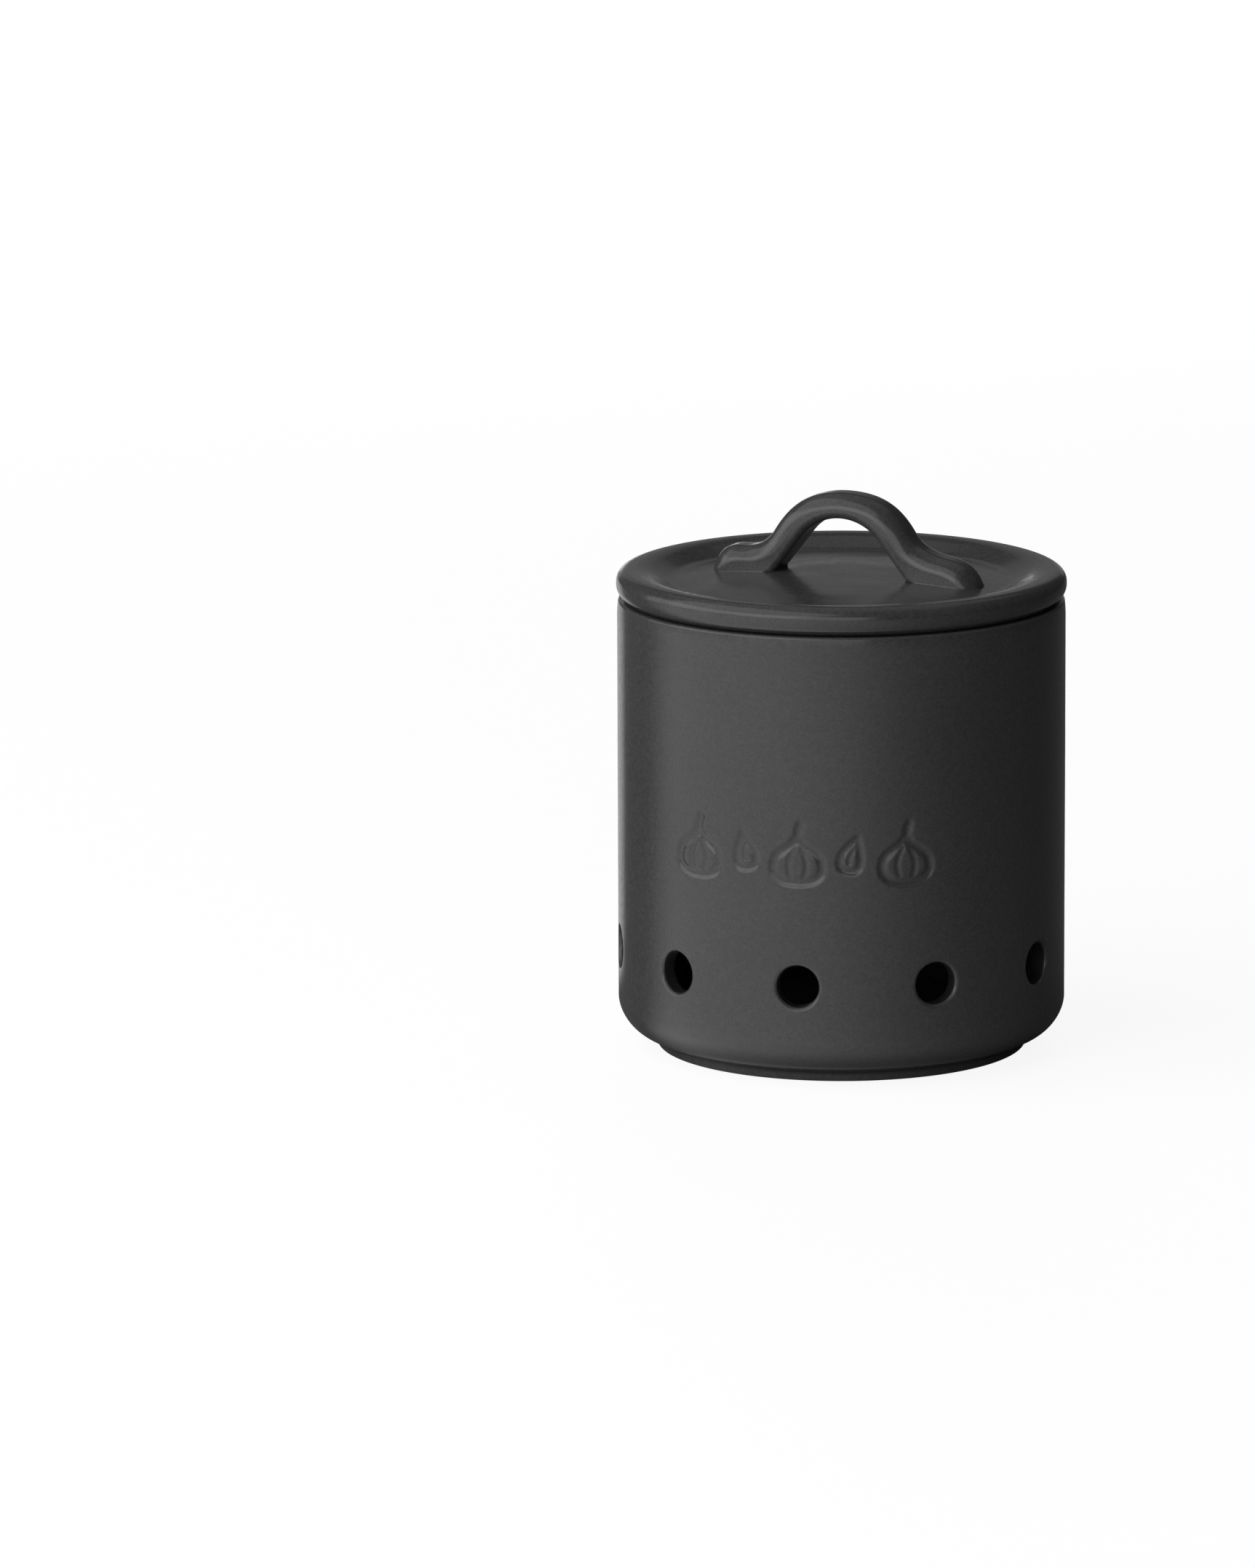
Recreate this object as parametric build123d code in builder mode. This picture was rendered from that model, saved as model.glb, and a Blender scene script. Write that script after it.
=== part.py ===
"""Garlic keeper: a vented stoneware jar, and a lift-off lid with a strap handle.

Millimetres, +Z up. The origin is on the jar's axis, at the surface it stands on.
The front of the jar, with one vent in its middle, faces -Y.
"""

import os
from math import cos, radians, sin, tan

from build123d import *

# ---------------------------------------------------------------- jar sizes
body_radius = 62.5  # outside of the straight wall
rim_height = 126.6  # top of the rim, where the lid rests
wall = 5.0  # thickness of the straight wall
floor_thickness = 5.7  # between the recess under the jar and its inside
base_curve = 10.5  # rounding from the wall to the underside
inside_curve = 8.0  # rounding between the inside wall and the floor
rim_outer_round = 2.0
rim_inner_round = 1.4

# foot ring, set in under the base curve
foot_ledge = 0.4  # flat part of the underside between the base curve and the ring
foot_width = 5.0
foot_height = 2.4
foot_recess = 1.8  # how far the underside is hollowed inside the ring
foot_round = 0.8

# vents round the wall, one of them at the front
vent_count = 10
vent_diameter = 11.9
vent_height = 28.9  # of the vent centres
vent_softening = 1.1  # rounding of each vent's outer edge
vent_overrun = 2.5  # how far the cutter runs past each face of the wall
front_angle = -90.0  # degrees from +X

# ---------------------------------------------------------------- lid sizes
lid_overhang = 0.3  # of the lid past the wall of the jar
lid_rim_thickness = 8.1  # from the seat to the crest of the rim
lid_top_round = 2.4  # outer edge, above
lid_under_round = 2.2  # outer edge, below
rim_land = 7.3  # from the outside of the lid to where the well begins to fall
rim_land_round = 12.0
well_slope = 8.0  # from where the well begins to fall to the edge of its floor
well_depth = 3.2  # from the crest to the edge of the well's floor
well_edge_round = 6.0
well_rise = 2.2  # how far the floor of the well rises to its middle

# locating flange under the lid
flange_clearance = 1.2  # between the flange and the jar's mouth
flange_depth = 5.0
flange_thickness = 4.2
flange_round = 1.2

# ---------------------------------------------------------------- handle sizes
handle_turn = -10.3  # degrees, the way the lid happens to sit
handle_shift = 1.4  # off the middle of the lid, along the handle
strap_width = 13.0
arch_radius = 23.1  # outside of the loop
handle_rise = 22.0  # top of the loop above the crest of the lid's rim
strap_thickness = 6.8  # at the top of the loop
leg_thickening = 1.9  # how much less the inside radius is than an even strap would have
arch_sweep = 52.0  # degrees either side of the top that stay round inside
gap_half_width = 19.5  # half the finger gap, where the feet meet the lid
knee_round = 2.6  # inside bend between a leg and its foot
shoulder_round = 10.5  # outside bend between a leg and its foot
foot_pad_flat = 2.0  # level top of a foot, between the shoulder and the round of its end
foot_pad_top = 5.1  # flat top of a foot above the crest of the lid's rim
foot_pad_end_round = 8.8  # the end of a foot from the side
foot_pad_corner_round = 6.0  # the end of a foot from above
strap_outer_round = 4.4  # rounding of the strap's outer edges
strap_inner_round = 2.0  # rounding of the edges inside the loop
foot_sink = 1.6  # how far the feet are made to reach below the edge of the well's floor
foot_edge_start = 1.2  # the rounding of the outer edges begins this far above that
cut_margin = 1.0  # how far a cutting shape runs past what it cuts
level_tolerance = 0.01  # upward part of a face's direction, for a face that stands upright

# ---------------------------------------------------------------- worked out
inner_radius = body_radius - wall
foot_radius = body_radius - base_curve - foot_ledge
jar_floor = foot_recess + floor_thickness
foot_inner_radius = foot_radius - foot_width
lid_radius = body_radius + lid_overhang
land_radius = lid_radius - rim_land
well_radius = land_radius - well_slope
crest_height = rim_height + lid_rim_thickness
well_floor = crest_height - well_depth
well_middle = well_floor + well_rise
flange_radius = inner_radius - flange_clearance
flange_inner_radius = flange_radius - flange_thickness
flange_bottom = rim_height - flange_depth
handle_top = crest_height + handle_rise
arch_centre = handle_top - arch_radius
arch_inner_radius = arch_radius - strap_thickness - leg_thickening
arch_inner_centre = handle_top - strap_thickness - arch_inner_radius
pad_top = crest_height + foot_pad_top
pad_bottom = well_floor - foot_sink
shoulder_rise = pad_top + shoulder_round - arch_centre
shoulder_end = ((arch_radius + shoulder_round) ** 2 - shoulder_rise**2) ** 0.5
foot_pad_reach = shoulder_end + foot_pad_flat + foot_pad_end_round

os.makedirs("parts", exist_ok=True)


def nearest(shape, *point):
    """The vertex of a sketch that lies nearest to a point."""
    return shape.vertices().sort_by_distance(point)[0]


def stands_upright(face):
    """Whether a face is a wall: the direction it faces, in its middle, is level."""
    return abs(face.normal_at().Z) < level_tolerance


# ---------------------------------------------------------------- jar body
with BuildPart() as jar_body:
    with BuildSketch(Plane.XZ) as jar_profile:
        with BuildLine():
            Polyline(
                (0, foot_recess),
                (foot_inner_radius, foot_recess),
                (foot_inner_radius, 0),
                (foot_radius, 0),
                (foot_radius, foot_height),
                (body_radius, foot_height),
                (body_radius, rim_height),
                (inner_radius, rim_height),
                (inner_radius, jar_floor),
                (0, jar_floor),
                close=True,
            )
        make_face()
        fillet(nearest(jar_profile, body_radius, foot_height, 0), base_curve)
        fillet(nearest(jar_profile, inner_radius, jar_floor, 0), inside_curve)
        fillet(nearest(jar_profile, body_radius, rim_height, 0), rim_outer_round)
        fillet(nearest(jar_profile, inner_radius, rim_height, 0), rim_inner_round)
        for ring_edge in (foot_radius, foot_inner_radius):
            fillet(nearest(jar_profile, ring_edge, 0, 0), foot_round)
    revolve(axis=Axis.Z)

    # the vents are drilled straight in towards the axis
    with Locations((0, 0, vent_height)):
        with PolarLocations(body_radius - wall / 2, vent_count, start_angle=front_angle):
            Cylinder(vent_diameter / 2, wall + 2 * vent_overrun, rotation=(0, 90, 0), mode=Mode.SUBTRACT)
    # each vent leaves a round edge on the inside and, farther from the axis, one on the outside
    vent_mouths = jar_body.edges(Select.LAST).filter_by(GeomType.LINE, reverse=True)
    vent_mouths = vent_mouths.sort_by_distance((0, 0, vent_height))
    fillet(vent_mouths[-vent_count:], vent_softening)

jar_body.part.label = "jar_body"
export_step(jar_body.part, "parts/jar_body.step")


# ---------------------------------------------------------------- lid disc
with BuildPart() as lid_disc:
    with BuildSketch(Plane.XZ) as lid_profile:
        with BuildLine():
            Polyline(
                (well_radius, well_floor),
                (land_radius, crest_height),
                (lid_radius, crest_height),
                (lid_radius, rim_height),
                (flange_radius, rim_height),
                (flange_radius, flange_bottom),
                (flange_inner_radius, flange_bottom),
                (flange_inner_radius, rim_height),
                (0, rim_height),
                (0, well_middle),
            )
            # the floor of the well is a shallow dome, level at the axis
            TangentArc((0, well_middle), (well_radius, well_floor), tangent=(1, 0))
        make_face()
        fillet(nearest(lid_profile, well_radius, well_floor, 0), well_edge_round)
        fillet(nearest(lid_profile, land_radius, crest_height, 0), rim_land_round)
        fillet(nearest(lid_profile, lid_radius, crest_height, 0), lid_top_round)
        fillet(nearest(lid_profile, lid_radius, rim_height, 0), lid_under_round)
        for flange_edge in (flange_radius, flange_inner_radius):
            fillet(nearest(lid_profile, flange_edge, flange_bottom, 0), flange_round)
    revolve(axis=Axis.Z)

lid_disc.part.label = "lid_disc"
export_step(lid_disc.part, "parts/lid_disc.step")


# ---------------------------------------------------------------- handle
turn = radians(handle_turn)
handle_plane = Plane(
    origin=(handle_shift * cos(turn), handle_shift * sin(turn), 0),
    x_dir=(cos(turn), sin(turn), 0),
    z_dir=(sin(turn), -cos(turn), 0),
)
# where the inside of the loop leaves its round and runs on as a straight leg
leg_x = arch_inner_radius * sin(radians(arch_sweep))
leg_z = arch_inner_centre + arch_inner_radius * cos(radians(arch_sweep))
knee_z = leg_z - (gap_half_width - leg_x) * tan(radians(arch_sweep))

with BuildPart() as lid_handle:
    with BuildSketch(handle_plane) as outer_view:
        # the round of the loop, and a bar as long as both feet
        with Locations((0, arch_centre)):
            Circle(arch_radius)
        with Locations((0, pad_bottom)):
            Rectangle(2 * foot_pad_reach, pad_top - pad_bottom, align=(Align.CENTER, Align.MIN))
            Rectangle(
                2 * foot_pad_reach,
                handle_top - pad_bottom + cut_margin,
                align=(Align.CENTER, Align.MIN),
                mode=Mode.INTERSECT,
            )
        arch_foot_x = (arch_radius**2 - (pad_top - arch_centre) ** 2) ** 0.5
        for side in (-1, 1):
            fillet(nearest(outer_view, side * arch_foot_x, pad_top, 0), shoulder_round)
            fillet(nearest(outer_view, side * foot_pad_reach, pad_top, 0), foot_pad_end_round)
    extrude(amount=strap_width / 2, both=True)

    # seen from above, the ends of the feet are round
    above = Plane(origin=handle_plane.origin, x_dir=handle_plane.x_dir, z_dir=(0, 0, 1))
    with BuildSketch(above):
        RectangleRounded(2 * foot_pad_reach, strap_width, foot_pad_corner_round)
    extrude(amount=handle_top + cut_margin, mode=Mode.INTERSECT)

    # the edges the walls share with the outside of the strap, down to the feet's lowest part
    walls = lid_handle.faces().filter_by(stands_upright)
    outer_edges = walls.edges().filter_by(Axis.Z, reverse=True)
    outer_edges = outer_edges.filter_by_position(Axis.Z, pad_bottom + foot_edge_start, handle_top)
    fillet(outer_edges, strap_outer_round)

    with BuildSketch(handle_plane) as finger_gap:
        with BuildLine():
            loop_inside = CenterArc(
                (0, arch_inner_centre), arch_inner_radius, 90 - arch_sweep, 2 * arch_sweep
            )
            Polyline(
                loop_inside @ 1,
                (-gap_half_width, knee_z),
                (-gap_half_width, pad_bottom - cut_margin),
                (gap_half_width, pad_bottom - cut_margin),
                (gap_half_width, knee_z),
                loop_inside @ 0,
            )
        make_face()
        for side in (-1, 1):
            fillet(nearest(finger_gap, side * gap_half_width, knee_z, 0), knee_round)
    extrude(amount=strap_width, both=True, mode=Mode.SUBTRACT)
    gap_edges = lid_handle.edges(Select.NEW).filter_by(handle_plane)
    gap_edges = gap_edges.filter_by_position(Axis.Z, pad_bottom + level_tolerance, handle_top)
    fillet(gap_edges, strap_inner_round)

    # the feet are pressed down onto the well, so they take its shape
    add(lid_disc.part, mode=Mode.SUBTRACT)

lid_handle.part.label = "lid_handle"
export_step(lid_handle.part, "parts/lid_handle.step")
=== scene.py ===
"""Garlic keeper in charcoal-glazed stoneware: a vented jar, its lift-off lid and the lid's strap handle.

Sizes are written in millimetres, as a potter would, and a mesh becomes metres when it is finished.
+Z is up, the front of the jar faces -Y, and the jar stands on Z = 0.
"""

import logging
import math
from collections.abc import Callable, Iterable
from dataclasses import dataclass
from enum import Enum
from itertools import pairwise

import bmesh
import bpy
import numpy as np
from bmesh.types import BMEdge, BMesh, BMFace, BMVert
from mathutils import Matrix, Vector, noise


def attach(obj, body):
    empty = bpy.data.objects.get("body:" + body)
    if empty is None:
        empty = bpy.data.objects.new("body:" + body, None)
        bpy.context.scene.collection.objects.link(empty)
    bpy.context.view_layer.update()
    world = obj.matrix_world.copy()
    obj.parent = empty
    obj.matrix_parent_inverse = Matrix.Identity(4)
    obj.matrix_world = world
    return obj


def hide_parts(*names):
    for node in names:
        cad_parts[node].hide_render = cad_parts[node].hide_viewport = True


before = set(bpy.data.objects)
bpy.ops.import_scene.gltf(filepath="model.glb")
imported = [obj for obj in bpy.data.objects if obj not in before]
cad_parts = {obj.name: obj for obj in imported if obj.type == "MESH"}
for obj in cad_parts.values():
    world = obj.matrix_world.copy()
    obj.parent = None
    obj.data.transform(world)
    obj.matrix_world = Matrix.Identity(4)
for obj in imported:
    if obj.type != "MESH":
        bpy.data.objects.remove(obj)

LOG = logging.getLogger("garlic_keeper")
MM = 0.001  # metres
WELD = 0.01  # millimetres between two vertices that are made one
ON_RUN = 1e-4  # millimetres from a straight run, for an edge that lies on it
SKIN = 1.0  # millimetres that a face of the wall may lie under the wall's radius
UP = Vector((0.0, 0.0, 1.0))
AXIS_POINT = Vector((0.0, 0.0, 0.0))
WHITE = (1.0, 1.0, 1.0, 1.0)

# What a mesh tells the glaze: 1 on sharp edges, drawn lighter as thin glaze and as a painted highlight, down to -1
# in hollows, and a mark in the vents where shade is painted near black; and 1 where the clay is bare.
GLAZE_AND_LIGHT_LAYER = "glaze_break_and_painted_light"
BARE_LAYER = "bare_clay"
SHARP_BEND = 0.9  # the bend of a sharp edge, per millimetre
# the mark of the vents' painted shade
VENT_SHADE = -2.0

Span = tuple[float, float, float, float]  # a range, and the range that it is mapped onto


# ------------------------------------------------------------------ clay work shared by the pieces
@dataclass(frozen=True)
class Corner:
    """A corner of a turned outline, and how the straight run that follows it is divided."""

    radius: float
    height: float
    rounding: float = 0.0
    steps: int = 6
    row: float = 6.0

    @property
    def place(self) -> Vector:
        """The corner before it is rounded."""
        return Vector((self.radius, 0.0, self.height))


def off_run(point: Vector, start: Vector, end: Vector) -> float:
    """How far a point lies from a straight run.

    Args:
        point: the point that is tested.
        start: one end of the run.
        end: the other end of the run.

    Returns:
        The distance, in the unit of the points.
    """
    run = end - start
    share = max(0.0, min(1.0, (point - start).dot(run) / run.length_squared))
    return (start + run * share - point).length


def quarter(steps: int) -> list[float]:
    """Angles that divide a quarter turn, without its end, in radians."""
    return [step / steps * math.pi / 2 for step in range(steps)]


def turned(corners: tuple[Corner, ...], columns: int, start: float, sweep: float) -> BMesh:
    """Turns an outline about the Z axis, as on a wheel.

    Args:
        corners: the outline, from the axis round and back to the axis.
        columns: how many faces there are along the sweep.
        start: where the sweep begins, in degrees from +X.
        sweep: how far it goes, in degrees.

    Returns:
        The turned mesh, closed at the axis, and open where the sweep ends unless it is a full turn.
    """
    clay = bmesh.new()
    line = [clay.verts.new(corner.place) for corner in corners]
    for one, other in pairwise(line):
        clay.edges.new((one, other))
    for before, corner, after, vertex in zip(corners, corners[1:], corners[2:], line[1:]):
        if corner.rounding:
            turn = (corner.place - before.place).angle(after.place - corner.place)
            bmesh.ops.bevel(
                clay,
                geom=[vertex],
                offset=corner.rounding * math.tan(turn / 2),
                segments=corner.steps,
                profile=0.5,
                affect="VERTICES",
                material=-1,
            )
    for edge in list(clay.edges):
        middle = (edge.verts[0].co + edge.verts[1].co) / 2
        for one, other in pairwise(corners):
            if off_run(middle, one.place, other.place) < ON_RUN:
                cuts = round(edge.calc_length() / one.row) - 1
                if cuts > 0:
                    bmesh.ops.subdivide_edges(clay, edges=[edge], cuts=cuts)
                break
    to_start = Matrix.Rotation(math.radians(start), 3, "Z")
    bmesh.ops.rotate(clay, verts=clay.verts, cent=AXIS_POINT, matrix=to_start)
    bmesh.ops.spin(
        clay,
        geom=clay.verts[:] + clay.edges[:],
        cent=AXIS_POINT,
        axis=UP,
        angle=math.radians(sweep),
        steps=columns,
        use_merge=sweep >= 360,
    )
    bmesh.ops.remove_doubles(clay, verts=clay.verts, dist=WELD)
    return clay


def pushed(clay: BMesh, amount: Callable[[BMVert], float]) -> None:
    """Moves every vertex along its normal.

    Args:
        clay: the mesh, whose normals are up to date.
        amount: gives how far a vertex goes, in millimetres, outwards if positive.
    """
    moves = [(vertex, vertex.normal * amount(vertex)) for vertex in clay.verts]
    for vertex, move in moves:
        vertex.co += move


def mark_glaze(clay: BMesh, is_bare: Callable[[BMVert], bool]) -> None:
    """Stores where the glaze thins on edges, which are drawn lighter also as a painted highlight, or gathers in
    hollows, and where the clay is bare.

    Args:
        clay: the finished mesh, in millimetres.
        is_bare: whether a vertex lies where the glaze was wiped off.
    """
    clay.normal_update()
    glaze_and_light = clay.verts.layers.float.new(GLAZE_AND_LIGHT_LAYER)
    bare = clay.verts.layers.float.new(BARE_LAYER)
    bend: dict[BMVert, float] = {}
    for vertex in clay.verts:
        total = 0.0
        for edge in vertex.link_edges:
            step = vertex.co - edge.other_vert(vertex).co
            total += 2.0 * step.dot(vertex.normal) / step.length_squared
        bend[vertex] = max(-1.0, min(1.0, total / len(vertex.link_edges) / SHARP_BEND))
        vertex[bare] = float(is_bare(vertex))
    for vertex in clay.verts:
        near = [bend[edge.other_vert(vertex)] for edge in vertex.link_edges]
        vertex[glaze_and_light] = 0.5 * bend[vertex] + 0.5 * sum(near) / len(near)


def finished(clay: BMesh, name: str, finish: bpy.types.Material, body: str, node: str) -> bpy.types.Object:
    """Makes an object of a mesh in millimetres, and lets it stand for its solid.

    Args:
        clay: the mesh, which is freed.
        name: the object's name.
        finish: its material.
        body: the body that it moves with.
        node: the solid that it stands for.

    Returns:
        The object, in metres, with its place in its mesh.
    """
    bmesh.ops.recalc_face_normals(clay, faces=clay.faces)
    clay.transform(Matrix.Scale(MM, 4))
    for face in clay.faces:
        face.smooth = True
    mesh = bpy.data.meshes.new(name)
    clay.to_mesh(mesh)
    clay.free()
    mesh.materials.append(finish)
    piece = bpy.data.objects.new(name, mesh)
    bpy.context.scene.collection.objects.link(piece)
    even = piece.modifiers.new("even_gloss", "WEIGHTED_NORMAL")
    even.mode = "FACE_AREA"
    even.weight = 50
    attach(piece, body)
    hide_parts(node)
    LOG.info("%s: %d faces, rides on %s, stands for %s", name, len(mesh.polygons), body, node)
    return piece


# ------------------------------------------------------------------ pressed ornament
@dataclass(frozen=True)
class Stroke:
    """One line of the pressed ornament: a cubic curve, in millimetres, and the tool that pressed it."""

    points: tuple[tuple[float, float], ...]
    half_width: float
    depth: float

    def along(self, count: int = 14) -> np.ndarray:
        """Points along the curve.

        Args:
            count: how many.

        Returns:
            An array of count rows and two columns.
        """
        a, b, c, d = (np.array(point) for point in self.points)
        t = np.linspace(0, 1, count)[:, None]
        return (1 - t) ** 3 * a + 3 * t * (1 - t) ** 2 * b + 3 * t**2 * (1 - t) * c + t**3 * d


@dataclass(frozen=True)
class GarlicRow:
    """A row of garlic bulbs with a clove between each two, pressed into the wall above the vents."""

    middle_height: float = 66.0
    bulb_spacing: float = 30.3
    bulb_height: float = 17.4
    clove_height: float = 10.5
    clove_lean: float = 14.0
    outline_half_width: float = 1.7
    outline_depth: float = 0.5
    skin_half_width: float = 1.1
    skin_depth: float = 0.3

    def _bulb(self) -> list[Stroke]:
        """The strokes of one bulb, about the middle of its foot."""
        line, deep = self.outline_half_width, self.outline_depth
        fine, shallow = self.skin_half_width, self.skin_depth
        strokes = [Stroke(((0.0, 12.2), (0.1, 14.0), (0.2, 15.4), (0.8, 17.0)), line, deep)]
        for side in (-1, 1):
            strokes += [
                Stroke(((side * 0.8, 12.6), (side * 1.5, 10.2), (side * 6.9, 9.9), (side * 6.9, 5.1)), line, deep),
                Stroke(((side * 6.9, 5.1), (side * 6.9, 1.9), (side * 3.6, 0.7), (0.0, 0.9)), line, deep),
                Stroke(((side * 0.6, 11.4), (side * 1.4, 9.2), (side * 3.9, 6.2), (side * 1.6, 1.8)), fine, shallow),
            ]
        return strokes

    def _clove(self) -> list[Stroke]:
        """The strokes of one clove, about the middle of its foot."""
        line, deep = self.outline_half_width * 0.9, self.outline_depth * 0.9
        fine, shallow = self.skin_half_width, self.skin_depth
        return [
            Stroke(((0.3, 10.2), (-0.8, 8.0), (-3.9, 5.4), (-2.7, 1.9)), line, deep),
            Stroke(((-2.7, 1.9), (-2.2, 0.3), (2.0, 0.3), (2.6, 2.1)), line, deep),
            Stroke(((2.6, 2.1), (3.4, 5.0), (1.2, 7.4), (0.3, 10.2)), line, deep),
            Stroke(((0.2, 7.4), (-0.4, 5.6), (-0.9, 4.2), (-0.3, 3.0)), fine, shallow),
        ]

    def strokes(self) -> list[Stroke]:
        """Every stroke of the row, about the middle of the front, at its height on the wall."""
        placed = []
        for place in range(-2, 3):
            whole = place % 2 == 0
            tall = self.bulb_height if whole else self.clove_height
            lean = 0.0 if whole else math.radians(self.clove_lean) * (1 if place < 0 else -1)
            for stroke in self._bulb() if whole else self._clove():
                moved = tuple(
                    (
                        x * math.cos(lean) - (y - tall / 2) * math.sin(lean) + place * self.bulb_spacing / 2,
                        x * math.sin(lean) + (y - tall / 2) * math.cos(lean) + self.middle_height,
                    )
                    for x, y in stroke.points
                )
                placed.append(Stroke(moved, stroke.half_width, stroke.depth))
        return placed

    def depth_at(self, spots: np.ndarray) -> np.ndarray:
        """How deep the clay is pressed at each spot of the unrolled wall.

        Args:
            spots: rows of distance along the wall and height, in millimetres.

        Returns:
            One depth for each row.
        """
        deepest = np.zeros(len(spots))
        for stroke in self.strokes():
            for start, end in pairwise(stroke.along()):
                run = end - start
                share = np.clip(((spots - start) @ run) / (run @ run), 0, 1)[:, None]
                off = np.linalg.norm(start + share * run - spots, axis=1) / stroke.half_width
                press = stroke.depth * np.where(off < 1, (1 - off**2) ** 2 * (1 + 0.6 * off**2), 0)
                deepest = np.maximum(deepest, press)
        return deepest


# ------------------------------------------------------------------ jar
class WallFace(Enum):
    """The two faces of the jar's wall."""

    OUTSIDE = 1
    INSIDE = -1


@dataclass
class JarShell:
    """The pot: foot ring, base curve, straight wall with ten vents, rim and inside."""

    body_radius: float = 62.5
    rim_height: float = 126.6
    wall: float = 5.0
    floor_height: float = 7.5
    base_rise: float = 4.7
    base_curve: float = 10.2
    inside_curve: float = 8.0
    rim_lean: tuple[float, float] = (0.3, 3.2)
    rim_lean_round: float = 32.0
    rim_outer_round: float = 0.8
    rim_inner_round: float = 1.4
    foot_radius: float = 51.6
    foot_width: float = 5.0
    foot_height: float = 2.4
    foot_recess: float = 1.8
    foot_round: float = 0.8
    glaze_fillet: float = 0.35
    foot_fillet: float = 1.0
    vent_count: int = 10
    vent_radius: float = 5.75
    vent_height: float = 28.8
    vent_softening: float = 1.3
    vent_inner_softening: float = 0.6
    front: float = -90.0
    sector_columns: int = 26
    window_cells: int = 16
    window_half_height: float = 12.0
    ornament: GarlicRow = GarlicRow()
    ornament_cells: int = 52
    ornament_half_height: float = 12.0
    ornament_cuts: int = 3
    unevenness: float = 0.05
    even_below: float = 3.0
    bare_below: float = 0.3
    # where shade is painted near black in the vents
    vent_shade_inset: float = 0.9
    vent_shade_margin: float = 0.12

    @property
    def inner_radius(self) -> float:
        """Radius of the inside of the wall."""
        return self.body_radius - self.wall

    def _outline(self) -> tuple[Corner, ...]:
        """The pot's outline, from the middle of its underside to the middle of its floor."""
        ring_inside = self.foot_radius - self.foot_width
        low = self.vent_height - self.window_half_height
        high = self.vent_height + self.window_half_height
        press_low = self.ornament.middle_height - self.ornament_half_height
        press_high = self.ornament.middle_height + self.ornament_half_height
        return (
            Corner(0.0, self.foot_recess),
            Corner(ring_inside, self.foot_recess, self.glaze_fillet, 3, 1.0),
            Corner(ring_inside, 0.0, self.foot_round, 5, 1.1),
            Corner(self.foot_radius, 0.0, self.foot_round, 5, 0.7),
            Corner(self.foot_radius, self.foot_height, self.foot_fillet, 6, 0.4),
            Corner(self.body_radius, self.foot_height + self.base_rise, self.base_curve, 20, 0.6),
            Corner(self.body_radius, low, row=1.5),
            Corner(self.body_radius, high, row=2.2),
            Corner(self.body_radius, press_low, row=1.5),
            Corner(self.body_radius, press_high, row=2.9),
            Corner(self.body_radius, self.rim_height - self.rim_lean[1], self.rim_lean_round, 6, 1.0),
            Corner(self.body_radius - self.rim_lean[0], self.rim_height, self.rim_outer_round, 8, 1.0),
            Corner(self.inner_radius, self.rim_height, self.rim_inner_round, 6, 6.0),
            Corner(self.inner_radius, high, row=1.5),
            Corner(self.inner_radius, low, row=1.4),
            Corner(self.inner_radius, self.floor_height, self.inside_curve, 8, 6.0),
            Corner(0.0, self.floor_height),
        )

    def _on_wall(self, across: float, up: float, face: WallFace, depth: float) -> Vector:
        """A point beside the front vent's axis.

        Args:
            across: distance from the vent's middle, level.
            up: distance from the vent's middle, upwards.
            face: the face of the wall that the depth is measured from.
            depth: how far into the clay, along the vent.

        Returns:
            The point, in millimetres.
        """
        radius = self.body_radius if face is WallFace.OUTSIDE else self.inner_radius
        out = math.sqrt(radius**2 - across**2) - face.value * depth
        return Vector((across, -out, self.vent_height + up))

    def _ring(self, clay: BMesh, radius: float, face: WallFace, depth: float) -> list[BMEdge]:
        """A ring of edges round the front vent.

        Args:
            clay: the mesh that the ring is added to.
            radius: of the ring.
            face: the face of the wall that it follows.
            depth: how far below that face it lies.

        Returns:
            The ring's edges.
        """
        ring = bmesh.ops.create_circle(clay, segments=4 * self.window_cells, radius=radius)["verts"]
        for vertex in ring:
            vertex.co = self._on_wall(vertex.co.x, vertex.co.y, face, depth)
        return list({edge for vertex in ring for edge in vertex.link_edges})

    def _half_angle(self, cells: int) -> float:
        """Half the turn that a block of columns takes up about the front, in radians."""
        return math.radians(360 / self.vent_count / self.sector_columns * cells / 2)

    def _front_faces(
        self, clay: BMesh, cells: int, height: float, half_height: float, least: float
    ) -> list[BMFace]:
        """The faces of a block about the middle of the front.

        Args:
            clay: the mesh.
            cells: how many columns wide the block is.
            height: of its middle.
            half_height: half of its own height.
            least: how far from the axis a face has to lie.

        Returns:
            The faces.
        """
        chosen = []
        for piece in clay.faces:
            middle = piece.calc_center_median()
            beside = abs(math.atan2(middle.x, -middle.y)) < self._half_angle(cells)
            if middle.xy.length > least and beside and abs(middle.z - height) < half_height:
                chosen.append(piece)
        return chosen

    def _open_window(self, clay: BMesh) -> dict[WallFace, list[BMEdge]]:
        """Takes out the square of wall round the front vent, on both faces of the wall.

        Args:
            clay: the sector of the pot that holds the vent.

        Returns:
            The edges round each opening.
        """
        block = (self.window_cells, self.vent_height, self.window_half_height)
        taken = self._front_faces(clay, *block, self.inner_radius - SKIN)
        inside = set(taken)
        rims = {edge for piece in taken for edge in piece.edges}
        border = {edge for edge in rims if any(face not in inside for face in edge.link_faces)}
        split = (self.body_radius + self.inner_radius) / 2
        loops = {
            WallFace.OUTSIDE: [edge for edge in border if edge.verts[0].co.xy.length > split],
            WallFace.INSIDE: [edge for edge in border if edge.verts[0].co.xy.length < split],
        }
        bmesh.ops.delete(clay, geom=taken, context="FACES")
        return loops

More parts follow.
